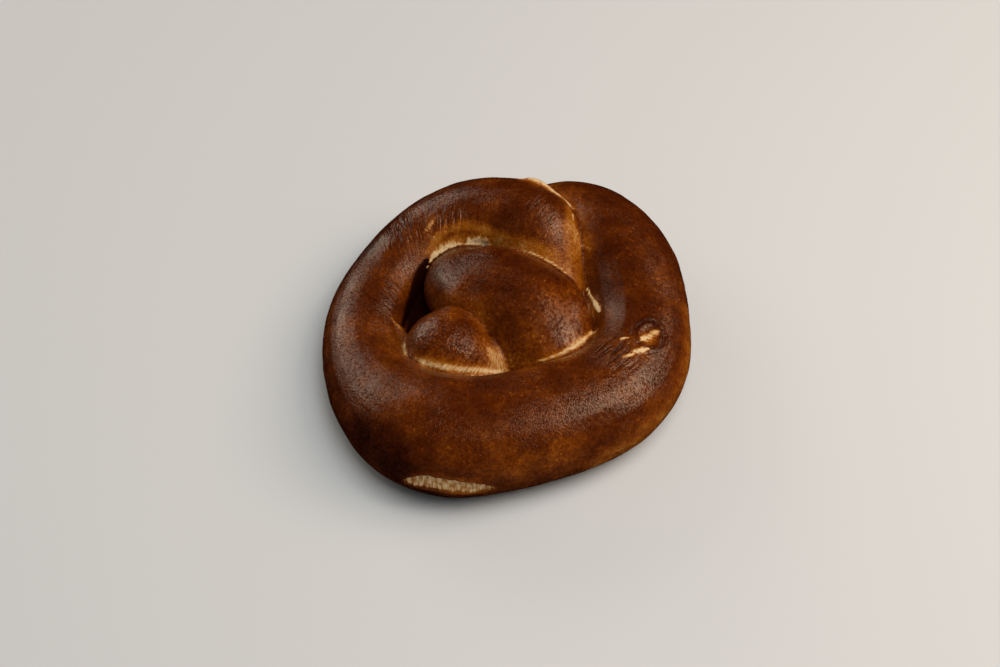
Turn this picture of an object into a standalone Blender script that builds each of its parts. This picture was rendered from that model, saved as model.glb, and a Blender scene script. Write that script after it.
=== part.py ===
"""A soft pretzel: one rope of dough, thick in the middle, tied in a loop and baked.

Metres, +Z up. The origin is at the middle of the base. The thick middle of the rope, the
belly, lies in front (-Y). The rope is followed from the end of its left arm to the end of
its right arm.
"""

import math

import bmesh
import bpy
import numpy as np

# Driving dimensions, in metres
WIDTH = 0.1155          # the whole pretzel, left to right
FLATNESS = 0.88         # the dough settles: the rope's height is this share of its width

# The rope's stations, in units of which UNITS make the width:
# x, y, height of the rope's middle, half of its thickness
UNITS = 115.5
ROPE = [
    # the left arm's end is pressed against the belly, under the other arm
    (-18.0, -10.3, 15.8, 13.3),
    (-10.6, -10.4, 10.4, 12.5),
    (2.0, -5.5, 8.0, 12.2),
    (13.5, 6.0, 8.4, 12.6),
    # it climbs out at the right and crosses over the right arm at the back
    (13.8, 19.4, 15.8, 11.2),
    (10.0, 33.0, 21.2, 13.8),
    (-1.4, 39.9, 21.4, 13.7),
    (-19.0, 39.0, 16.7, 13.5),
    # the left side
    (-34.4, 28.0, 11.4, 12.7),
    (-44.2, 8.8, 10.3, 12.3),
    (-44.5, -9.5, 10.6, 12.9),
    # the belly
    (-37.5, -25.5, 11.7, 15.7),
    (-23.3, -38.2, 13.3, 18.8),
    (-5.0, -39.9, 14.0, 18.4),
    (14.0, -34.6, 13.8, 17.9),
    (30.4, -25.8, 12.9, 17.4),
    # the right side
    (40.4, -11.2, 12.1, 16.2),
    (42.2, 4.5, 11.8, 15.8),
    (40.3, 21.0, 12.6, 16.2),
    (32.8, 35.8, 13.5, 16.3),
    # the right arm dives under the left one at the back
    (21.5, 45.6, 12.4, 14.4),
    (11.5, 45.0, 10.5, 13.2),
    (3.0, 37.5, 8.2, 12.0),
    (-6.0, 26.5, 8.8, 12.0),
    # it comes up in a knuckle and ends in the broad lump in the middle
    (-12.0, 14.4, 15.0, 14.6),
    (-4.5, 11.2, 16.2, 15.8),
    (6.5, 4.8, 15.5, 17.2),
    (12.0, -4.5, 12.1, 16.5),
]
MIDDLE = (0.10, 0.51)                   # the middle of the base in the stations' x and y
STEPS_PER_STATION = 10
DOME_ANGLES = [20, 40, 58, 73, 84]      # degrees round each rounded end

# Fineness of the baked skin
VOXEL = 0.0011
SMOOTH_PASSES = 5
TRIANGLES = 9400
RING_DETAIL = 11        # the round section's bevel resolution

# The crust's look
CRUST_COLOUR = (0.13, 0.028, 0.003, 1.0)
CRUST_ROUGHNESS = 0.42


def remove_everything():
    for obj in list(bpy.data.objects):
        bpy.data.objects.remove(obj)


def new_collection(name):
    collection = bpy.data.collections.new(name)
    bpy.context.scene.collection.children.link(collection)
    return collection


def stations():
    """The stations in metres, about the middle of the base, with a round rope's heights."""
    table = np.array(ROPE)
    table[:, :2] -= MIDDLE
    table[:, 2] /= FLATNESS
    return table * (WIDTH / UNITS)


def smooth_line(knots, steps):
    """A natural cubic spline through the knots, the same number of steps between each two."""
    gaps = np.linalg.norm(np.diff(knots[:, :3], axis=0), axis=1) ** 0.8
    place = np.concatenate([[0.0], np.cumsum(gaps)])
    count = len(place)
    matrix = np.zeros((count, count))
    matrix[0, 0] = 1.0
    matrix[-1, -1] = 1.0
    for i in range(1, count - 1):
        matrix[i, i - 1 : i + 2] = gaps[i - 1], 2 * (gaps[i - 1] + gaps[i]), gaps[i]
    slopes = np.diff(knots, axis=0) / gaps[:, None]
    right = np.zeros_like(knots)
    right[1:-1] = 6 * np.diff(slopes, axis=0)
    bend = np.linalg.solve(matrix, right)
    at = np.linspace(0.0, place[-1], steps * (count - 1) + 1)
    i = np.clip(np.searchsorted(place, at, side="right") - 1, 0, count - 2)
    gap = gaps[i][:, None]
    after = (at - place[i])[:, None]
    before = gap - after
    return (
        bend[i] * before**3 / (6 * gap)
        + bend[i + 1] * after**3 / (6 * gap)
        + (knots[i] / gap - bend[i] * gap / 6) * before
        + (knots[i + 1] / gap - bend[i + 1] * gap / 6) * after
    )


def rounded_end(end, inner):
    """Points past an end of the rope whose thickness shrinks as a dome's does."""
    way = end[:3] - inner[:3]
    way /= np.linalg.norm(way)
    points = []
    for degrees in DOME_ANGLES:
        angle = math.radians(degrees)
        centre = end[:3] + way * end[3] * math.sin(angle)
        points.append([*centre, end[3] * math.cos(angle)])
    return np.array(points)


def rope_line():
    line = smooth_line(stations(), STEPS_PER_STATION)
    start = rounded_end(line[0], line[2])[::-1]
    finish = rounded_end(line[-1], line[-3])
    return np.concatenate([start, line, finish])


def round_rope(collection):
    """The rope as a curve whose thickness follows the stations."""
    line = rope_line()
    curve = bpy.data.curves.new("rope", "CURVE")
    curve.dimensions = "3D"
    spline = curve.splines.new("POLY")
    spline.points.add(len(line) - 1)
    for point, (x, y, z, radius) in zip(spline.points, line):
        point.co = (x, y, z, 1.0)
        point.radius = radius
    curve.bevel_depth = 1.0
    curve.bevel_resolution = RING_DETAIL
    curve.twist_mode = "Z_UP"
    curve.use_fill_caps = True
    obj = bpy.data.objects.new("rope", curve)
    collection.objects.link(obj)
    return obj


def as_mesh(curve_object, name, collection):
    """A mesh of the curve, with its caps welded on and its round section settled."""
    bpy.context.view_layer.update()
    evaluated = curve_object.evaluated_get(bpy.context.evaluated_depsgraph_get())
    mesh = bpy.data.meshes.new_from_object(evaluated)
    mesh.name = name
    bm = bmesh.new()
    bm.from_mesh(mesh)
    bmesh.ops.remove_doubles(bm, verts=bm.verts, dist=0.000001)
    bmesh.ops.scale(bm, verts=bm.verts, vec=(1.0, 1.0, FLATNESS))
    bmesh.ops.recalc_face_normals(bm, faces=bm.faces)
    bm.to_mesh(mesh)
    bm.free()
    obj = bpy.data.objects.new(name, mesh)
    collection.objects.link(obj)
    bpy.data.objects.remove(curve_object)
    return obj


def table_cutter(collection):
    """A block below z = 0: what it takes off leaves the flat base the pretzel baked on."""
    depth = 0.02
    bpy.ops.mesh.primitive_cube_add(size=1.0, location=(0.0, 0.0, -depth / 2))
    block = bpy.context.active_object
    block.name = "table_cutter"
    block.dimensions = (2 * WIDTH, 2 * WIDTH, depth)
    bpy.ops.object.transform_apply(location=True, rotation=False, scale=True)
    for owner in list(block.users_collection):
        owner.objects.unlink(block)
    collection.objects.link(block)
    block.hide_render = True
    block.display_type = "WIRE"
    return block


def add_modifier(obj, name, kind, **values):
    modifier = obj.modifiers.new(name, kind)
    for key, value in values.items():
        setattr(modifier, key, value)
    return modifier


def bake_together(obj, block):
    """Crossing stretches of the rope grow into one skin, which is smoothed and cut flat."""
    add_modifier(obj, "one_skin", "REMESH", mode="VOXEL", voxel_size=VOXEL)
    add_modifier(obj, "soften", "SMOOTH", factor=0.5, iterations=SMOOTH_PASSES)
    bpy.context.view_layer.update()
    evaluated = obj.evaluated_get(bpy.context.evaluated_depsgraph_get())
    share = TRIANGLES / (2 * len(evaluated.data.polygons))
    add_modifier(obj, "fewer_faces", "DECIMATE", ratio=share)
    add_modifier(obj, "flat_base", "BOOLEAN", operation="DIFFERENCE", object=block, solver="EXACT")


def crust():
    material = bpy.data.materials.new("crust")
    material.use_nodes = True
    shader = material.node_tree.nodes["Principled BSDF"]
    shader.inputs["Base Color"].default_value = CRUST_COLOUR
    shader.inputs["Roughness"].default_value = CRUST_ROUGHNESS
    shader.inputs["Metallic"].default_value = 0.0
    return material


def main():
    remove_everything()
    parts = new_collection("soft_pretzel")
    cutters = new_collection("cutters")
    pretzel = as_mesh(round_rope(parts), "pretzel", parts)
    pretzel.data.materials.append(crust())
    bake_together(pretzel, table_cutter(cutters))


main()
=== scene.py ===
"""How the soft pretzel looks: its baked skin, torn seams, crust and the table and lights round it."""

import math

import bpy
import numpy as np
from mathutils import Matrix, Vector, noise


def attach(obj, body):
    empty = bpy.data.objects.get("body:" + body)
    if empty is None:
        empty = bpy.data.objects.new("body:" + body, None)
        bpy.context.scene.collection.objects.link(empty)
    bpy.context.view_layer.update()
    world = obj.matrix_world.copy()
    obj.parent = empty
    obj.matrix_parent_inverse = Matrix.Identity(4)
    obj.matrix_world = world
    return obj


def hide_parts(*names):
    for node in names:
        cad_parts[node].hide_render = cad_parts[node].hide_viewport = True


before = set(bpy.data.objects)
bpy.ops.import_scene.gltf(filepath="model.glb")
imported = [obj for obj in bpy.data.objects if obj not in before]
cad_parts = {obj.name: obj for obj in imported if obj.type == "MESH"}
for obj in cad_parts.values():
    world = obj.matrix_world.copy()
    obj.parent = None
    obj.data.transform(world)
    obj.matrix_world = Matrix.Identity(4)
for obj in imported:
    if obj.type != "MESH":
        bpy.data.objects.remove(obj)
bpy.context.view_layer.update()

MM = 0.001

# The rope's stations in millimetres: x, y, height of its middle, half of its thickness
FLATNESS = 0.88
ROPE = [
    # the left arm's end is pressed against the belly, under the other arm
    (-18.0, -10.3, 15.8, 13.3),
    (-10.6, -10.4, 10.4, 12.5),
    (2.0, -5.5, 8.0, 12.2),
    (13.5, 6.0, 8.4, 12.6),
    # it climbs out at the right and crosses over the right arm at the back
    (13.8, 19.4, 15.8, 11.2),
    (10.0, 33.0, 21.2, 13.8),
    (-1.4, 39.9, 21.4, 13.7),
    (-19.0, 39.0, 16.7, 13.5),
    # the left side
    (-34.4, 28.0, 11.4, 12.7),
    (-44.2, 8.8, 10.3, 12.3),
    (-44.5, -9.5, 10.6, 12.9),
    # the belly
    (-37.5, -25.5, 11.7, 15.7),
    (-23.3, -38.2, 13.3, 18.8),
    (-5.0, -39.9, 14.0, 18.4),
    (14.0, -34.6, 13.8, 17.9),
    (30.4, -25.8, 12.9, 17.4),
    # the right side
    (40.4, -11.2, 12.1, 16.2),
    (42.2, 4.5, 11.8, 15.8),
    (40.3, 21.0, 12.6, 16.2),
    (32.8, 35.8, 13.5, 16.3),
    # the right arm dives under the left one at the back
    (21.5, 45.6, 12.4, 14.4),
    (11.5, 45.0, 10.5, 13.2),
    (3.0, 37.5, 8.2, 12.0),
    (-6.0, 26.5, 8.8, 12.0),
    # it comes up in a knuckle and ends in the broad lump in the middle
    (-12.0, 14.4, 15.0, 14.6),
    (-4.5, 11.2, 16.2, 15.8),
    (6.5, 4.8, 15.5, 17.2),
    (12.0, -4.5, 12.1, 16.5),
]
MIDDLE = (0.10, 0.51)
STEPS_PER_STATION = 20
DOME_ANGLES = [20, 40, 58, 73, 84]
VOXEL = 0.68


def smooth_line(knots, steps):
    """A natural cubic spline through the knots, the same number of steps between each two."""
    knots = np.asarray(knots, float)
    gaps = np.linalg.norm(np.diff(knots[:, :3], axis=0), axis=1) ** 0.8
    place = np.concatenate([[0.0], np.cumsum(gaps)])
    count = len(place)
    matrix = np.zeros((count, count))
    matrix[0, 0] = 1.0
    matrix[-1, -1] = 1.0
    for i in range(1, count - 1):
        matrix[i, i - 1 : i + 2] = gaps[i - 1], 2 * (gaps[i - 1] + gaps[i]), gaps[i]
    slopes = np.diff(knots, axis=0) / gaps[:, None]
    right = np.zeros_like(knots)
    right[1:-1] = 6 * np.diff(slopes, axis=0)
    bend = np.linalg.solve(matrix, right)
    at = np.linspace(0.0, place[-1], steps * (count - 1) + 1)
    i = np.clip(np.searchsorted(place, at, side="right") - 1, 0, count - 2)
    gap = gaps[i][:, None]
    after = (at - place[i])[:, None]
    before = gap - after
    return (
        bend[i] * before**3 / (6 * gap)
        + bend[i + 1] * after**3 / (6 * gap)
        + (knots[i] / gap - bend[i] * gap / 6) * before
        + (knots[i + 1] / gap - bend[i + 1] * gap / 6) * after
    )


def rounded_end(end, inner):
    way = end[:3] - inner[:3]
    way /= np.linalg.norm(way)
    points = []
    for degrees in DOME_ANGLES:
        angle = math.radians(degrees)
        points.append([*(end[:3] + way * end[3] * math.sin(angle)), end[3] * math.cos(angle)])
    return np.array(points)


def rope_line():
    table = np.array(ROPE)
    table[:, :2] -= MIDDLE
    table[:, 2] /= FLATNESS
    line = smooth_line(table, STEPS_PER_STATION)
    return line


LINE = rope_line()


# Strips of dough that were pulled out between pressed stretches of the rope, and a low web of dough
# in the left hole that is painted dark as the hole's shade: x, y, z, half of their thickness, in millimetres
STRIPS = {
    "under_the_small_lump": [
        (-29.2, -17.4, 18.4, 1.3), (-24.6, -19.8, 18.8, 2.0), (-18.6, -20.8, 18.6, 2.3),
        (-11.1, -19.8, 16.6, 2.5), (-5.1, -18.4, 14.0, 2.5), (0.6, -17.4, 12.0, 2.2),
    ],
    "under_the_big_lump": [
        (7.5, -18.0, 16.4, 1.6), (14.0, -16.2, 18.8, 2.0), (19.2, -13.4, 19.6, 2.1),
        (23.0, -10.0, 19.0, 1.9), (27.0, -5.6, 17.4, 1.4),
    ],
    "by_the_left_side": [
        (-34.0, -0.4, 14.9, 1.0), (-32.4, -2.6, 14.0, 1.5), (-31.6, -6.8, 14.8, 1.6),
        (-31.2, -10.8, 16.0, 1.6), (-30.6, -14.2, 17.8, 1.3),
    ],
    "in_the_right_gap": [
        (25.8, 13.6, 15.6, 1.1), (26.8, 10.2, 16.2, 1.6), (28.0, 6.4, 17.2, 2.1),
        (28.9, 2.8, 18.0, 1.7),
    ],
    "over_the_back_seam": [
        (4.2, 46.8, 31.0, 0.7), (7.0, 46.6, 31.1, 1.4), (9.7, 45.8, 30.8, 1.7), (12.9, 44.4, 29.2, 1.7),
        (16.1, 42.4, 28.0, 1.5), (19.3, 41.4, 25.8, 1.2), (21.4, 39.4, 24.8, 0.8),
    ],
    # a low web of dough across the left hole, painted dark there as the hole's shade
    "painted_shade_web_in_the_left_hole": [
        (-31.0, -6.0, 4.5, 4.5), (-28.5, 1.5, 4.5, 5.0), (-26.5, 9.0, 4.5, 5.0), (-25.5, 17.0, 6.0, 5.0),
    ],
}


def deselect():
    bpy.ops.object.select_all(action="DESELECT")


def select(obj):
    deselect()
    obj.select_set(True)
    bpy.context.view_layer.objects.active = obj


def tube(name, line):
    """A closed round tube along a line of x, y, z, radius in millimetres."""
    line = np.concatenate([rounded_end(line[0], line[2])[::-1], line, rounded_end(line[-1], line[-3])])
    curve = bpy.data.curves.new(name, "CURVE")
    curve.dimensions = "3D"
    spline = curve.splines.new("POLY")
    spline.points.add(len(line) - 1)
    for point, (x, y, z, radius) in zip(spline.points, line * MM):
        point.co = (x, y, z, 1.0)
        point.radius = radius
    curve.bevel_depth = 1.0
    curve.bevel_resolution = 11
    curve.twist_mode = "Z_UP"
    curve.use_fill_caps = True
    obj = bpy.data.objects.new(name, curve)
    bpy.context.scene.collection.objects.link(obj)
    select(obj)
    bpy.ops.object.convert(target="MESH")
    return bpy.context.active_object


def points_of(obj):
    """The mesh's points in millimetres."""
    values = np.zeros(len(obj.data.vertices) * 3, np.float32)
    obj.data.vertices.foreach_get("co", values)
    return values.reshape(-1, 3).astype(float) / MM


def move_points(obj, points):
    obj.data.vertices.foreach_set("co", (points * MM).astype(np.float32).ravel())
    obj.data.update()


def normals_of(obj):
    values = np.zeros(len(obj.data.vertices) * 3, np.float32)
    obj.data.vertices.foreach_get("normal", values)
    return values.reshape(-1, 3).astype(float)


def edges_of(obj):
    values = np.zeros(len(obj.data.edges) * 2, np.int32)
    obj.data.edges.foreach_get("vertices", values)
    return values.reshape(-1, 2)


def soft_step(low, high, values):
    share = np.clip((values - low) / (high - low), 0.0, 1.0)
    return share * share * (3.0 - 2.0 * share)


def lumps(points, size, seed, octaves=1):
    """Soft noise from about -1 to 1 whose lumps are `size` millimetres wide."""
    shift = Vector((seed * 7.31, seed * 3.17, seed * 5.71))
    scaled = points / size
    if octaves == 1:
        return np.array([noise.noise(Vector(p) + shift) for p in scaled])
    return np.array([noise.fractal(Vector(p) + shift, 0.9, 2.1, octaves) for p in scaled])


def rope_places(points):
    """Where points (mm) lie on the rope: station, distance along, angle round from the top
    (towards the outside of the ring), and how far they are from the next stretch."""
    round_points = points / (1.0, 1.0, FLATNESS)
    centre = LINE[:, :3]
    radius = LINE[:, 3]
    step = np.linalg.norm(np.diff(centre, axis=0), axis=1)
    along = np.concatenate([[0.0], np.cumsum(step)])
    tangent = np.gradient(centre, axis=0)
    tangent /= np.linalg.norm(tangent, axis=1)[:, None]
    up = np.array([0.0, 0.0, 1.0]) - tangent * tangent[:, 2:3]
    up /= np.linalg.norm(up, axis=1)[:, None]
    side = np.cross(tangent, up)
    count = len(points)
    best = np.zeros(count, int)
    proud = np.zeros(count)
    next_gap = np.zeros(count)
    other = np.zeros(count, int)
    for start in range(0, count, 8000):
        part = slice(start, min(start + 8000, count))
        apart = np.linalg.norm(round_points[part, None, :] - centre[None], axis=2) - radius[None]
        near = apart.argmin(1)
        rows = np.arange(len(near))
        best[part] = near
        proud[part] = apart[rows, near]
        far = np.abs(along[None] - along[near][:, None]) > 40.0
        apart[~far] = 1e9
        near = apart.argmin(1)
        other[part] = near
        next_gap[part] = apart[rows, near]
    offset = round_points - centre[best]
    shift = (offset * tangent[best]).sum(1)
    angle = np.arctan2((offset * side[best]).sum(1), (offset * up[best]).sum(1))
    return {
        "along": along[best] + shift, "angle": angle, "station": best / STEPS_PER_STATION,
        "radius": radius[best], "first": proud, "second": next_gap,
        "other": other / STEPS_PER_STATION,
        "from_end": np.minimum(along[best] + shift, along[-1] - along[best] - shift),
    }


def placed(rows):
    """Rows of x, y, ... in the stations' frame, moved to the part's own frame."""
    rows = np.array(rows, float)
    rows[..., :2] -= MIDDLE
    return rows


def by_path(points, path):
    """How far along a path (0 to 1) each point lies, and how far from it, as a share of its reach.
    A path is a few rows of x, y, z, reach in millimetres."""
    line = smooth_line(placed(path), 10)
    share = np.full(len(points), 0.5)
    away = np.full(len(points), 99.0)
    reach = line[:, 3].max() * 4.0
    low = line[:, :3].min(0) - reach
    high = line[:, :3].max(0) + reach
    inside = np.where(((points > low) & (points < high)).all(1))[0]
    apart = np.linalg.norm(points[inside, None, :] - line[None, :, :3], axis=2)
    apart = apart / np.maximum(line[None, :, 3], 0.05)
    near = apart.argmin(1)
    share[inside] = near / (len(line) - 1)
    away[inside] = apart[np.arange(len(inside)), near]
    return share, away


def near_places(points, places):
    """How near points are to any of the places; each place is a middle, a reach and the most."""
    share = np.zeros(len(points))
    for middle, reach, most in places:
        apart = np.linalg.norm(points - placed(middle), axis=1) / reach
        share = np.maximum(share, most * np.exp(-(apart**2)))
    return share


def relax(points, edges, weight, rounds):
    """Evens the points out where weight is over 0."""
    count = len(points)
    degree = np.bincount(edges.ravel(), minlength=count)[:, None]
    for _ in range(rounds):
        total = np.zeros_like(points)
        for axis in range(3):
            total[:, axis] = np.bincount(edges[:, 0], points[edges[:, 1], axis], count)
            total[:, axis] += np.bincount(edges[:, 1], points[edges[:, 0], axis], count)
        points = points + weight[:, None] * (total / degree - points)
    return points


def baked_skin():
    """The rope and its strips grown into one skin; its base is flattened later, when the skin is dressed."""
    rope = tube("pretzel_crust", LINE)
    points = points_of(rope)
    points[:, 2] *= FLATNESS
    move_points(rope, points)
    strips = [tube(name, smooth_line(placed(path), 8)) for name, path in STRIPS.items()]
    select(rope)
    for strip in strips:
        strip.select_set(True)
    bpy.ops.object.join()
    rope = bpy.context.active_object
    rope.name = "pretzel_crust"
    rope.data.remesh_voxel_size = VOXEL * MM
    rope.data.remesh_voxel_adaptivity = 0.0
    bpy.ops.object.voxel_remesh()
    soften = rope.modifiers.new("soften", "SMOOTH")
    soften.factor = 0.5
    soften.iterations = 5
    bpy.ops.object.modifier_apply(modifier="soften")
    return rope


# ---- where the crust is torn, stretched or scratched, and a painted highlight by the left slit: rows of x, y, z, reach in millimetres ----
BELLY_TEAR = [
    (-30.4, -55.2, 12.9, 0.3), (-28.3, -55.8, 14.2, 1.4), (-24.6, -57.0, 15.6, 2.7),
    (-19.0, -58.2, 15.8, 3.0), (-13.6, -58.7, 15.4, 2.8), (-8.2, -58.7, 14.6, 2.1), (-3.4, -58.2, 13.8, 0.5),
]
# along the back arm's lower edge: x and how far up from the crease the tear reaches
BACK_TEAR = [
    (-25.8, 0.0), (-24.6, 2.0), (-21.5, 2.7), (-17.5, 2.2), (-15.2, 1.5), (-14.2, 0.4), (-13.2, 0.4),
    (-12.4, 2.8), (-9.0, 3.7), (-6.6, 3.6), (-5.2, 2.4), (-4.4, 0.0),
]
CURL = (-6.2, 27.4, 25.2)
BACK_AMBER = [
    (-25.0, 25.0, 21.0, 1.4), (-19.7, 30.0, 25.2, 1.8), (-10.0, 30.6, 27.0, 2.0), (-2.0, 26.8, 26.3, 2.4),
    (4.3, 23.2, 27.2, 2.8), (9.0, 20.4, 27.8, 3.0), (13.7, 18.2, 27.0, 3.0), (17.5, 16.6, 25.2, 3.0),
    (21.3, 15.4, 22.0, 2.8), (24.0, 14.4, 18.4, 2.6),
]
RIGHT_EDGE_AMBER = [
    (20.4, 37.0, 28.6, 1.4), (20.8, 31.0, 28.4, 2.6), (21.4, 25.5, 26.0, 3.6), (22.6, 20.0, 22.8, 4.0),
    (23.8, 15.0, 19.5, 3.4),
]
OLIVE_FLANK = [
    (22.6, 40.0, 25.6, 1.6), (24.0, 34.0, 25.6, 2.2), (25.4, 28.0, 24.3, 2.2), (26.4, 22.0, 22.2, 1.8),
    (27.0, 17.0, 20.0, 1.2),
]
BACK_SEAM = [
    (3.6, 47.2, 32.0, 0.6), (7.0, 46.9, 32.4, 1.2), (9.7, 46.0, 32.2, 1.4), (12.9, 44.8, 30.8, 1.5),
    (16.1, 42.6, 29.4, 1.4), (19.3, 41.6, 26.8, 1.1), (21.4, 39.5, 25.6, 0.6),
]
SEAM_SPOT = [(21.4, 36.2, 26.8, 0.5), (21.5, 34.4, 27.8, 0.8), (21.5, 32.4, 28.4, 0.4)]
SMALL_LUMP_BAND = [
    (-28.0, -17.4, 21.4, 0.7), (-24.0, -19.6, 21.8, 1.2), (-18.6, -21.0, 21.8, 1.4),
    (-11.1, -20.3, 19.6, 1.3), (-5.1, -18.9, 16.8, 1.2), (-1.6, -18.0, 15.4, 0.8),
]
SMALL_LUMP_FLANK = [
    (-5.0, -13.0, 20.0, 1.4), (-3.6, -15.0, 18.4, 2.6), (-2.6, -17.0, 16.8, 3.6),
]
BIG_LUMP_BAND = [
    (9.4, -17.8, 20.4, 0.3), (14.6, -16.5, 21.2, 0.7), (19.2, -13.9, 21.6, 0.95),
    (23.0, -10.4, 21.0, 0.8), (26.2, -6.0, 19.2, 0.45),
]
BIG_LUMP_DASH = [(24.9, -7.9, 20.6, 0.4), (26.6, -6.0, 19.6, 0.8), (28.2, -5.0, 19.4, 0.5)]
# a painted highlight: a thin cream line along the rim of the flap by the left slit
LEFT_SLIT_RIM_HIGHLIGHT = [(-36.0, 0.9, 17.4, 0.25), (-34.4, -0.2, 16.2, 0.6), (-32.6, -2.4, 15.2, 0.35)]
LEFT_SLIT = [
    (-32.0, -5.4, 15.8, 0.3), (-31.6, -8.6, 16.8, 0.7), (-31.2, -12.0, 18.4, 0.9), (-30.4, -15.4, 20.0, 0.5),
]
GAP_SKIN = [
    (25.7, 13.4, 16.8, 0.4), (26.7, 9.8, 17.5, 0.7), (27.9, 6.2, 18.4, 1.0), (28.7, 3.4, 19.0, 1.0),
    (28.9, 2.2, 19.2, 0.7),
]
SCRATCH = [(-26.8, 29.5, 24.6, 0.4), (-24.8, 31.8, 25.8, 1.0), (-22.9, 34.2, 27.1, 0.4)]
# golden places, and places where the crust is duller
GOLDEN_PLACES = [
    ((-8.5, -13.5, 22.0), 6.0, 0.6), ((-4.0, -52.0, 20.0), 12.0, 0.35), ((16.0, -47.0, 18.0), 11.0, 0.4),
    ((8.0, -9.0, 24.0), 7.0, 0.4), ((41.5, -14.0, 26.0), 4.5, 0.45), ((-33.0, 14.0, 17.0), 6.0, 0.4),
    ((6.0, -23.0, 25.0), 6.0, 0.35), ((19.0, -2.0, 26.0), 8.0, 0.45),
]
DULL_PLACES = [
    ((17.5, -1.0, 27.0), 9.0, 0.85), ((-10.0, -11.0, 24.0), 5.0, 0.8), ((35.0, 10.0, 25.0), 8.0, 0.85),
    ((33.0, 20.0, 26.0), 7.0, 0.7), ((-3.0, -38.0, 30.0), 13.0, 0.75), ((19.0, 19.0, 25.0), 8.0, 0.7),
    ((1.0, 38.0, 33.0), 10.0, 0.6), ((-36.0, 8.0, 24.0), 7.0, 0.5),
]
# places that are baked darker
DARK_PLACES = [
    ((-3.0, -36.0, 30.0), 12.0, 0.3), ((0.0, 38.0, 32.0), 11.0, 0.3), ((-37.0, 8.0, 24.0), 9.0, 0.3),
    ((33.0, 16.0, 24.0), 9.0, 0.3),
]
# places where the wrinkles are deep
LEATHERY_PLACES = [
    ((-16.0, -11.0, 22.0), 13.0, 1.6), ((-12.0, 12.0, 28.0), 10.0, 1.1), ((4.0, 8.0, 33.0), 9.0, 0.8),
    ((33.0, -31.0, 28.0), 11.0, 0.9), ((-43.0, -20.0, 25.0), 14.0, 1.0),
]
DARK_BELLY = [
    (-41.0, -40.0, 18.0, 6.0), (-37.0, -45.5, 20.0, 8.5), (-31.0, -51.5, 19.0, 8.0),
    (-22.0, -55.0, 12.0, 5.0),
]
# painted shade: the deep hollow between the left side and the big lump is painted near black
LEFT_HOLLOW_SHADE = [
    (-31.0, -3.0, 12.0, 3.5), (-29.0, 5.0, 11.0, 4.2), (-28.5, 13.0, 11.5, 4.2), (-27.0, 20.0, 15.5, 3.2),
    (-25.6, 22.8, 18.4, 1.6),
]
GOLDEN_RIM = [
    (27.4, -47.5, 10.0, 6.0), (35.0, -43.6, 11.6, 7.0), (42.4, -37.6, 14.0, 7.0), (49.5, -29.4, 14.6, 7.0),
    (54.0, -20.0, 14.0, 6.5), (56.0, -10.0, 15.0, 6.0), (55.0, 2.0, 17.0, 5.0),
]

LUMP_END_LOW = (-14.5, 2.5, 24.5)
LUMP_END_HIGH = (-14.0, 17.0, 28.0)
LUMP_RIGHT = (23.0, 2.5, 23.0)
LUMP_BACK = (-4.0, 23.0, 28.5)

# the blister that broke open on the right: its middle and the half widths of its rings
BLISTER = (43.2, -12.2)
BLISTER_REACH = (3.6, 4.9)
# each path of bare dough and how bare it is
BLISTER_CREAM = [
    ([(39.9, -14.2, 26.1, 0.9), (41.6, -13.4, 25.8, 1.2)], 1.0),
    ([(41.8, -13.0, 25.7, 1.3), (43.8, -11.6, 25.3, 1.9), (45.4, -10.2, 25.2, 1.2)], 0.74),
    ([(38.0, -19.2, 27.0, 0.8), (40.2, -18.4, 26.8, 1.2), (42.2, -17.4, 26.3, 0.6)], 1.0),
    ([(34.6, -21.2, 27.5, 0.5), (36.2, -20.7, 27.4, 0.9), (37.6, -19.9, 27.2, 0.4)], 0.92),
    ([(33.8, -13.9, 26.3, 0.3), (35.2, -13.6, 26.4, 0.6), (36.8, -13.4, 26.6, 0.3)], 0.85),
]


def blister_places(points):
    """Distance from the blister's middle in ring widths, the direction, and how near it is."""
    middle = placed(BLISTER)
    across = (points[:, 0] - middle[0]) / BLISTER_REACH[0]
    up = (points[:, 1] - middle[1]) / BLISTER_REACH[1]
    ring = np.hypot(across, up)
    near = (1 - soft_step(1.6, 2.6, ring)) * soft_step(18.0, 21.0, points[:, 2])
    return ring, np.arctan2(up, across), near


def blister_relief(points):
    """A shallow dent with torn ridges inside wrinkled rings that open towards the belly."""
    ring, way, near = blister_places(points)
    wobble = 0.16 * lumps(points, 3.0, 21)
    upper = soft_step(-1.0, 0.1, np.sin(way))
    folds = 0.4 * np.cos((ring + wobble - 1.0) * 2 * math.pi / 0.42)
    folds *= np.exp(-((ring - 1.25) / 0.42) ** 2) * upper
    dent = -0.75 * (1 - soft_step(0.35, 1.05, ring + wobble))
    _, crack = by_path(points, [(39.5, -15.5, 26.6, 0.4), (41.9, -15.5, 25.8, 0.5), (44.0, -14.9, 25.2, 0.4)])
    dent -= 0.7 * np.exp(-(crack**2))
    _, ridge = by_path(points, [(39.7, -16.6, 26.6, 0.6), (42.0, -16.6, 26.0, 0.7), (44.6, -15.9, 25.2, 0.6)])
    return near * (folds + dent) + 0.4 * np.exp(-ridge**2)


# where the skin was stretched into fine parallel folds: middle, reach, the folds' direction, their share
STRETCHED = [
    ((31.6, -18.8, 27.0), (4.8, 5.0, 6.0), (5.2, 5.7, 0.0), 1.4),
    ((41.5, -16.6, 26.4), (3.5, 2.0, 6.0), (5.2, 2.4, 0.0), 0.6),
    ((-17.0, 33.0, 27.0), (7.0, 3.4, 6.0), (0.1, 1.0, 0.5), 0.5),
    ((-34.0, 34.0, 23.4), (5.5, 7.0, 6.0), (-0.25, 1.0, 0.2), 0.8),
    ((-36.2, 10.0, 19.0), (3.0, 6.0, 6.0), (0.9, -0.5, -0.3), 0.5),
    ((12.0, 36.0, 33.0), (5.0, 5.0, 6.0), (0.5, 1.0, 0.0), 0.4),
]


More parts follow.
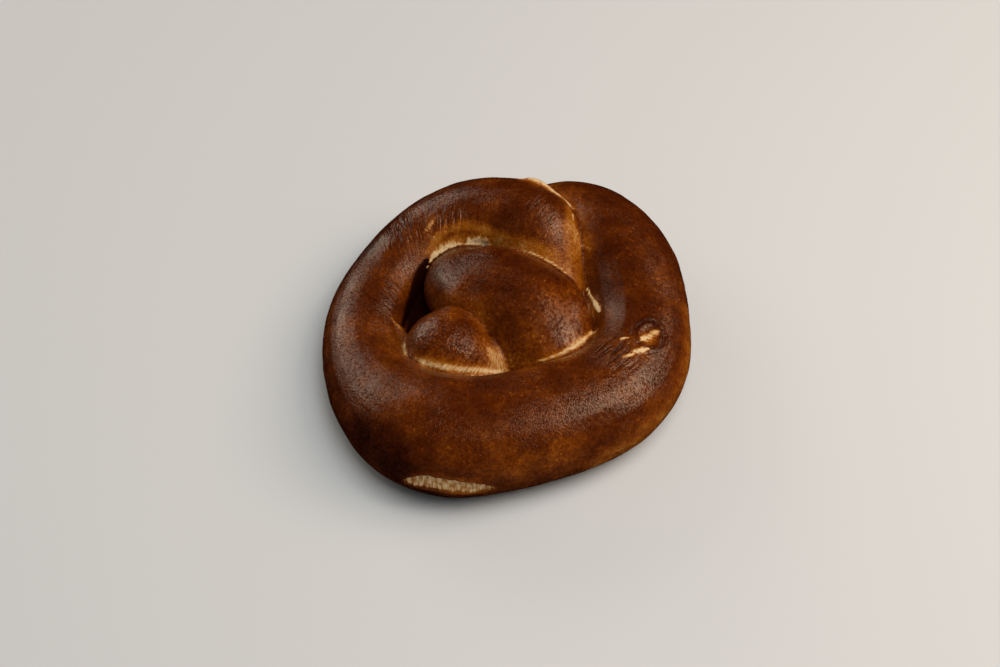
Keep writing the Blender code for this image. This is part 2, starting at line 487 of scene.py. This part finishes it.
def stretched_skin(points):
    """How strongly the skin is folded, and places (mm) across and along the folds."""
    folded = np.zeros(len(points))
    frame_of_folds = np.zeros((len(points), 3))
    for middle, reach, direction, most in STRETCHED:
        way = np.array(direction) / np.linalg.norm(direction)
        side = np.cross(way, (0.0, 0.0, 1.0))
        side /= np.linalg.norm(side)
        offset = points - placed(middle)
        near = most * np.exp(-((offset / reach) ** 2).sum(1))
        stronger = near > folded
        folded[stronger] = near[stronger]
        frame_of_folds[stronger] = np.stack([offset @ side, offset @ way, offset[:, 2] * 0], 1)[stronger]
    return folded, frame_of_folds


def dress_skin(rope):
    """Relief along the skin's normals, how far each place is baked, and where shade is painted on."""
    points = points_of(rope)
    edges = edges_of(rope)
    place = rope_places(points)
    strip = soft_step(0.1, 0.8, place["first"])
    soft = np.full(len(points), 0.5)
    blend = relax(np.repeat(strip[:, None], 3, 1), edges, soft, 4)[:, 0]
    points = relax(points, edges, 0.5 * soft_step(0.0, 0.4, blend), 12)
    points[:, 2] = np.maximum(points[:, 2], 0.0)
    move_points(rope, points)
    normal = normals_of(rope)
    above = soft_step(0.4, 4.0, points[:, 2])
    grain = np.stack([place["along"], place["angle"] * place["radius"], np.zeros(len(points))], 1)
    end = 1 - soft_step(9.0, 14.0, place["from_end"])

    crease = np.exp(-((np.maximum(place["second"], 0) / 2.0) ** 2))
    ragged = lumps(points, 1.5, 3, 2)
    fringe = lumps(grain * (1.0, 0.35, 1.0), 1.1, 9)
    _, belly_away = by_path(points, BELLY_TEAR)
    belly = 1 - soft_step(0.75, 1.0, belly_away + 0.12 * ragged + 0.22 * fringe)
    # the back arm's edge that lies over the big lump, and how far up from the crease
    over_lump = (place["station"] > 3.6) & (place["station"] < 8.5) & (place["other"] > 22.0)
    up_from_crease = np.where(over_lump, np.maximum(place["second"], 0.0), 99.0)
    tear_x, tear_reach = placed(BACK_TEAR)[:, 0], np.array(BACK_TEAR)[:, 1]
    reach = np.interp(points[:, 0], tear_x, tear_reach, left=0.0, right=0.0)
    back_away = up_from_crease / np.maximum(reach, 0.01)
    back = 0.95 * (1 - soft_step(0.3, 1.6, back_away + 0.3 * ragged))
    crumb = np.maximum(belly, back)

    lift = 0.32 * lumps(points, 17.0, 1) + 0.13 * lumps(points, 6.0, 2)
    lift += 0.045 * lumps(grain * (1.0, 0.5, 1.0), 2.4, 5, 2) * (1 - crumb)
    # the big lump's end slopes flatly down to the left, and the lump bulges over the gap and the crease
    on_lump = (place["station"] > 21.5) * (1 - strip)
    for middle, most, where in (
        (LUMP_END_LOW, 2.4, 1.0), (LUMP_END_HIGH, -0.9, 1.0), (LUMP_RIGHT, 1.6, on_lump),
        (LUMP_BACK, 1.0, on_lump),
    ):
        lift += most * where * np.exp(-(((points - placed(middle)) / 6.0) ** 2).sum(1))
    lift -= 0.7 * belly
    lift += 0.3 * np.exp(-(((belly_away - 1.2) / 0.25) ** 2))
    lift += belly * 0.4 * lumps(grain * (1.0, 0.35, 1.0), 1.3, 7)
    lift += back * (0.4 + 0.45 * lumps(points, 2.4, 8, 2))
    ring = np.linalg.norm(points - placed(CURL), axis=1)
    lift += 0.4 * np.exp(-(((ring - 1.2) / 0.45) ** 2)) - 0.4 * np.exp(-((ring / 0.6) ** 2))
    lift += blister_relief(points)
    folded, fold_places = stretched_skin(points)
    points = points + normal * (lift * above)[:, None]
    points[:, 2] = np.maximum(points[:, 2], 0.0)
    move_points(rope, points)

    rough = lumps(points, 2.2, 8, 2)
    pale = np.zeros(len(points))
    # pale bare dough along the tears, bands and seams, and a painted highlight along the rim by the left slit
    for path, most in (
        (SMALL_LUMP_BAND, 0.8), (BIG_LUMP_BAND, 0.93), (BIG_LUMP_DASH, 0.8), (LEFT_SLIT_RIM_HIGHLIGHT, 0.85),
        (LEFT_SLIT, 0.85), (BACK_SEAM, 0.84), (SEAM_SPOT, 0.7), (SCRATCH, 0.6),
    ):
        _, away = by_path(points, path)
        pale = np.maximum(pale, most * np.exp(-((away + 0.3 * rough) ** 2) * 1.1))
    _, away = by_path(points, SMALL_LUMP_FLANK)
    pale = np.maximum(pale, 0.6 * np.exp(-((away + 0.25 * rough) ** 2)))
    for path, most in BLISTER_CREAM:
        _, away = by_path(points, path)
        pale = np.maximum(pale, most * (1 - soft_step(0.2, 1.5, away + 0.6 * ragged)))
    pale = np.maximum(pale, 0.25 * soft_step(0.45, 1.2, place["first"]) * soft_step(12.0, 14.0, points[:, 2]))
    _, gap = by_path(points, GAP_SKIN)
    gap = 1 - soft_step(0.75, 1.15, gap)
    pale = np.maximum(pale, gap)
    # a thin torn line just above the crease
    line_share = np.interp(points[:, 0], (2.0, 7.0, 18.0, 23.0), (0.0, 1.0, 1.0, 0.0))
    pale = np.maximum(pale, 0.75 * line_share * np.exp(-(((up_from_crease - 0.75) / 0.45) ** 2)))
    pale = np.maximum(pale, crumb)
    hollow = np.exp(-((np.maximum(place["second"], 0) / 6.5) ** 2))
    lump_back = (place["station"] > 23.2) * soft_step(-0.2, 0.5, normal[:, 1] + 0.3 * normal[:, 0])
    amber = 0.55 * hollow * soft_step(8.0, 13.0, points[:, 2]) * (1 - lump_back)
    for path, most, near, far in (
        (BACK_AMBER, 0.9, 0.3, 1.6), (RIGHT_EDGE_AMBER, 1.0, 0.4, 2.0), (OLIVE_FLANK, 0.7, 0.3, 1.9),
        (SMALL_LUMP_BAND, 0.85, 0.8, 3.6), (SMALL_LUMP_FLANK, 0.85, 0.8, 2.4),
        (BIG_LUMP_BAND, 0.95, 0.8, 3.4),
        (LEFT_SLIT, 0.5, 0.8, 3.0), (BACK_SEAM, 0.7, 0.6, 2.4), (BELLY_TEAR, 0.7, 1.0, 1.7),
    ):
        _, away = by_path(points, path)
        amber = np.maximum(amber, most * (1 - soft_step(near, far, away + 0.2 * rough)))
    amber = np.maximum(amber, near_places(points, GOLDEN_PLACES))
    edge_share = np.interp(points[:, 0], (-27.0, -24.0, 22.0, 25.0), (0.0, 1.0, 1.0, 0.0))
    amber = np.maximum(amber, 0.95 * edge_share * (1 - soft_step(2.0, 6.5, up_from_crease + 0.4 * rough)))
    dull = near_places(points, DULL_PLACES)
    _, away = by_path(points, DARK_BELLY)
    dark = 1 - soft_step(0.2, 1.3, away + 0.15 * rough)
    dark = np.maximum(dark, near_places(points, DARK_PLACES))
    # painted shade in the left hollow: dark, with no amber or pale, and dulled like the creases
    _, away = by_path(points, LEFT_HOLLOW_SHADE)
    hole_shade = 1 - soft_step(0.5, 1.2, away)
    dark = np.maximum(dark, 2.2 * hole_shade)
    amber = amber * (1 - hole_shade)
    pale = pale * (1 - hole_shade * (place["first"] > 0.3))
    # painted shade: the creases where two stretches of the rope meet are darkened to near black and dulled
    crease_shade = np.exp(-((np.maximum(place["second"], 0) / 0.4) ** 2)) * (place["first"] < 0.5)
    crease_shade *= (1 - np.clip(1.4 * pale, 0, 1)) * soft_step(8.0, 12.0, points[:, 2])
    crease_shade = np.maximum(crease_shade, hole_shade)
    ring, _, near = blister_places(points)
    dark = np.maximum(dark, 0.8 * near * np.exp(-(((ring - 1.15) / 0.3) ** 2)))
    # painted shade: darker towards the floor, and the low web in the left hole darker still
    dark = np.maximum(dark, 1 - soft_step(6.0, 10.0, points[:, 2] + 3.0 * (place["first"] < 0.3)))
    _, away = by_path(points, GOLDEN_RIM)
    golden = 1 - soft_step(0.2, 1.5, away)
    store(rope, "pale", pale)
    store(rope, "crumb", belly)
    store(rope, "amber", np.clip(amber, 0, 1))
    store(rope, "dark", dark)
    store(rope, "golden", golden)
    store(rope, "crease_shade", crease_shade)
    store(rope, "folded", folded)
    store(rope, "dull", dull)
    store(rope, "rope_end", end)
    store(rope, "leathery", near_places(points, LEATHERY_PLACES))
    for name, vectors in (("grain", grain), ("fold_places", fold_places)):
        layer = rope.data.attributes.new(name, "FLOAT_VECTOR", "POINT")
        layer.data.foreach_set("vector", vectors.astype(np.float32).ravel())
    rope.data.shade_smooth()


def store(obj, name, values):
    layer = obj.data.attributes.new(name, "FLOAT", "POINT")
    layer.data.foreach_set("value", values.astype(np.float32))


class Nodes:
    """A short way to write a material's nodes."""

    def __init__(self, name):
        self.material = bpy.data.materials.new(name)
        self.material.use_nodes = True
        self.tree = self.material.node_tree
        self.shader = self.tree.nodes["Principled BSDF"]

    def link(self, value, socket):
        if isinstance(value, bpy.types.NodeSocket):
            self.tree.links.new(value, socket)
        else:
            socket.default_value = value

    def add(self, kind, output=0, settings=None, **inputs):
        node = self.tree.nodes.new(kind)
        for key, value in (settings or {}).items():
            setattr(node, key, value)
        for key, value in inputs.items():
            numbered = key[0] == "i" and key[1:].isdigit()
            self.link(value, node.inputs[int(key[1:]) if numbered else key.replace("_", " ")])
        return node.outputs[output]

    def attribute(self, name, output=2):
        return self.add("ShaderNodeAttribute", output, {"attribute_name": name})

    def noise(self, vector, scale, detail=2.0, roughness=0.5, distortion=0.0):
        return self.add("ShaderNodeTexNoise", 0, Vector=vector, Scale=scale, Detail=detail,
                        Roughness=roughness, Distortion=distortion)

    def ramp(self, value, low, high, to_low=0.0, to_high=1.0):
        return self.add("ShaderNodeMapRange", 0, {"interpolation_type": "SMOOTHSTEP"}, i0=value, i1=low,
                        i2=high, i3=to_low, i4=to_high)

    def math(self, kind, a, b=0.0, c=0.0):
        return self.add("ShaderNodeMath", 0, {"operation": kind}, i0=a, i1=b, i2=c)

    def vector(self, kind, a, b, c=(0.0, 0.0, 0.0)):
        return self.add("ShaderNodeVectorMath", 0, {"operation": kind}, i0=a, i1=b, i2=c)

    def mix(self, share, a, b):
        node = self.tree.nodes.new("ShaderNodeMix")
        node.data_type = "RGBA"
        self.link(share, node.inputs[0])
        self.link(a, node.inputs[6])
        self.link(b, node.inputs[7])
        return node.outputs[2]

    def bump(self, height, strength, distance, before=None):
        node = self.tree.nodes.new("ShaderNodeBump")
        self.link(height, node.inputs["Height"])
        node.inputs["Strength"].default_value = strength
        node.inputs["Distance"].default_value = distance
        if before is not None:
            self.link(before, node.inputs["Normal"])
        return node.outputs[0]


# how the dough colours as it bakes, from cream to burnt: share, colour
BAKING = [
    (0.00, (0.80, 0.55, 0.29)), (0.14, (0.53, 0.26, 0.078)), (0.30, (0.33, 0.094, 0.0045)),
    (0.46, (0.19, 0.040, 0.0018)), (0.60, (0.105, 0.0185, 0.0009)), (0.68, (0.075, 0.0118, 0.0006)),
    (0.84, (0.040, 0.0055, 0.0005)), (1.00, (0.014, 0.0018, 0.0004)),
]


def wrinkles(n, places, scale):
    """The height of leathery wrinkles, for places in millimetres."""
    drift = n.add("ShaderNodeTexNoise", 1, Vector=places, Scale=0.5, Detail=2.0)
    warp = n.vector("MULTIPLY_ADD", drift, (1.3, 1.3, 1.3), places)
    stretched = n.vector("MULTIPLY", warp, scale)
    folds = n.add("ShaderNodeTexVoronoi", 0, {"feature": "SMOOTH_F1"}, Vector=stretched, Scale=1.0,
                  Smoothness=0.7)
    fine = n.noise(stretched, 2.2, 3.0, 0.6)
    return n.math("SUBTRACT", n.math("MULTIPLY_ADD", fine, 0.7, 0.9), folds)


def crust_material():
    n = Nodes("crust")
    place = n.add("ShaderNodeTexCoord", 3)
    grain = n.attribute("grain", 1)
    pale = n.attribute("pale")
    crumb = n.attribute("crumb")
    amber = n.attribute("amber")
    dark = n.attribute("dark")
    golden = n.attribute("golden")
    crease_shade = n.attribute("crease_shade")
    folded = n.attribute("folded")
    dull = n.attribute("dull")
    end = n.attribute("rope_end")
    fold_places = n.attribute("fold_places", 1)
    broad = n.noise(place, 45.0, 2.0)
    blotch = n.noise(place, 170.0, 3.0, 0.6)
    fleck = n.noise(place, 750.0, 3.0, 0.65)
    round_end = n.vector("MULTIPLY", place, (1000.0, 1000.0, 1000.0))
    end_height = wrinkles(n, round_end, (1.15, 1.15, 1.15))
    height = n.mix(end, wrinkles(n, grain, (2.6, 1.4, 1.0)), end_height)
    drawn = n.vector("MULTIPLY", fold_places, (0.85, 0.12, 1.0))
    folds_seen = n.math("MULTIPLY", n.ramp(n.noise(drawn, 1.0, 1.0, 0.4, 0.3), 0.32, 0.62), folded)
    # the baked brown, in blotches and flecks, made darker where shade is painted into the creases, the left
    # hole and near the floor
    bake = n.math("MULTIPLY_ADD", n.math("SUBTRACT", broad, 0.5), -0.35, 0.675)
    bake = n.math("MULTIPLY_ADD", n.math("SUBTRACT", blotch, 0.5), -0.42, bake)
    bake = n.math("MULTIPLY_ADD", n.math("SUBTRACT", fleck, 0.5), -0.36, bake)
    bake = n.math("MULTIPLY_ADD", n.math("SUBTRACT", height, 0.75), -0.22, bake)
    creased = n.math("SUBTRACT", folds_seen, n.math("MULTIPLY", folded, 0.6))
    bake = n.math("MULTIPLY_ADD", creased, -0.2, bake)
    # dark adds the places baked darker and the painted shade in the left hole and near the floor
    bake = n.math("MULTIPLY_ADD", dark, 0.22, bake)
    bake = n.math("MULTIPLY_ADD", crease_shade, 0.36, bake)
    bake = n.math("MULTIPLY_ADD", golden, -0.27, bake)
    spots = n.add("ShaderNodeTexVoronoi", 0, {"feature": "F1"}, Vector=place, Scale=600.0, Randomness=1.0)
    spotty = n.math("MULTIPLY", n.ramp(spots, 0.32, 0.16), n.ramp(n.noise(place, 90.0, 2.0), 0.45, 0.65))
    bake = n.math("MULTIPLY_ADD", spotty, -0.16, bake)
    bake = n.math("MULTIPLY_ADD", amber, -0.36, bake)
    # bare dough, streaked where it was pulled
    pulled = n.vector("MULTIPLY", grain, (1.7, 0.3, 1.0))
    fibre = n.noise(pulled, 1.0, 2.0, 0.5)
    bare = n.math("MULTIPLY_ADD", n.math("SUBTRACT", fibre, 0.5), 0.9, pale)
    bare = n.math("MULTIPLY", n.ramp(bare, 0.08, 0.95), n.ramp(pale, 0.0, 0.15))
    bake = n.math("MULTIPLY", bake, n.math("SUBTRACT", 1.0, bare))
    pits = n.ramp(n.noise(place, 900.0, 3.0, 0.7), 0.42, 0.30, 0.0, 0.2)
    bake = n.math("ADD", bake, n.math("MULTIPLY", pits, crumb))
    bake = n.math("MULTIPLY_ADD", n.ramp(fibre, 0.64, 0.34, 0.0, 0.22), crumb, bake)
    # painted shade: torn dough lying in the creases is darkened as well
    bake = n.math("MULTIPLY_ADD", crease_shade, n.math("MULTIPLY", crumb, 0.9), bake)
    ramp = n.tree.nodes.new("ShaderNodeValToRGB")
    for share, colour in BAKING[1:-1]:
        ramp.color_ramp.elements.new(share).color = colour + (1.0,)
    ramp.color_ramp.elements[0].color = BAKING[0][1] + (1.0,)
    ramp.color_ramp.elements[-1].color = BAKING[-1][1] + (1.0,)
    n.link(bake, ramp.inputs[0])
    n.link(ramp.outputs[0], n.shader.inputs["Base Color"])
    rough = n.ramp(n.noise(place, 260.0, 2.0), 0.3, 0.7, 0.22, 0.29)
    rough = n.math("MAXIMUM", rough, n.math("MULTIPLY", bare, 0.85))
    n.link(rough, n.shader.inputs["Roughness"])
    deep = n.ramp(n.noise(place, 60.0, 1.0), 0.35, 0.65, 0.35, 1.0)
    deep = n.math("MAXIMUM", deep, n.attribute("leathery"))
    normal = n.bump(folds_seen, 1.0, 0.0008)
    normal = n.bump(n.math("MULTIPLY", height, deep), 1.0, 0.00012, normal)
    pores = n.noise(place, 1000.0, 4.0, 0.7)
    normal = n.bump(n.math("MULTIPLY", pores, bare), 1.0, 0.0004, normal)
    n.link(normal, n.shader.inputs["Normal"])
    gloss = n.ramp(height, 0.45, 0.95, 0.1, 0.9)
    # the painted crease shade is dulled too
    dull = n.math("MAXIMUM", dull, n.math("MULTIPLY", crease_shade, 0.97))
    gloss = n.math("MULTIPLY", gloss, n.math("SUBTRACT", 1.0, dull))
    n.link(gloss, n.shader.inputs["Specular IOR Level"])
    n.shader.inputs["Specular Tint"].default_value = (1.0, 0.82, 0.66, 1.0)
    return n.material


pretzel = baked_skin()
dress_skin(pretzel)
pretzel.data.materials.clear()
pretzel.data.materials.append(crust_material())
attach(pretzel, "root")
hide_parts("pretzel")

# ---- the plain floor and the soft light ----
bpy.ops.mesh.primitive_plane_add(size=6.0, location=(0, 0, 0))
floor = bpy.context.active_object
floor.name = "floor"
pale_floor = bpy.data.materials.new("pale_floor")
pale_floor.use_nodes = True
pale_floor.node_tree.nodes["Principled BSDF"].inputs["Base Color"].default_value = (0.66, 0.65, 0.64, 1)
pale_floor.node_tree.nodes["Principled BSDF"].inputs["Roughness"].default_value = 0.7
floor.data.materials.append(pale_floor)
floor.visible_glossy = False

world = bpy.data.worlds.new("room")
bpy.context.scene.world = world
world.use_nodes = True
world.node_tree.nodes["Background"].inputs[0].default_value = (0.12, 0.12, 0.12, 1)
world.node_tree.nodes["Background"].inputs[1].default_value = 1.0
world.cycles_visibility.glossy = False


def area(name, place, size, power, colour, glossy=True):
    lamp = bpy.data.lights.new(name, "AREA")
    lamp.energy = power
    lamp.shape = "RECTANGLE"
    lamp.size, lamp.size_y = size
    lamp.color = colour
    obj = bpy.data.objects.new(name, lamp)
    bpy.context.scene.collection.objects.link(obj)
    obj.location = place
    obj.rotation_mode = "QUATERNION"
    obj.rotation_quaternion = (-Vector(place)).to_track_quat("-Z", "Y")
    obj.visible_glossy = glossy


area("window", (-0.66, 0.62, 0.39), (0.74, 0.46), 2.5, (1.0, 0.93, 0.82))
area("softbox", (0.62, 0.03, 0.61), (0.56, 0.56), 4.2, (1.0, 0.84, 0.68))
area("overhead", (0.25, -0.2, 1.1), (0.7, 0.7), 7.5, (0.93, 0.98, 1.0), glossy=False)

CAMERA_RISE = math.radians(53)
LOOK_AT = Vector((*placed((-2.04, -1.70)), 13.0)) * MM
cam = bpy.data.cameras.new("camera")
cam_obj = bpy.data.objects.new("camera", cam)
bpy.context.scene.collection.objects.link(cam_obj)
cam.lens = 50.0
cam.sensor_width = 36.0
cam.clip_start = 0.01
cam_obj.location = LOOK_AT + Vector((0, -math.cos(CAMERA_RISE), math.sin(CAMERA_RISE))) * 0.436
cam_obj.rotation_euler = (math.radians(90) - CAMERA_RISE, 0, 0)
bpy.context.scene.camera = cam_obj
bpy.context.scene.view_settings.view_transform = "Standard"
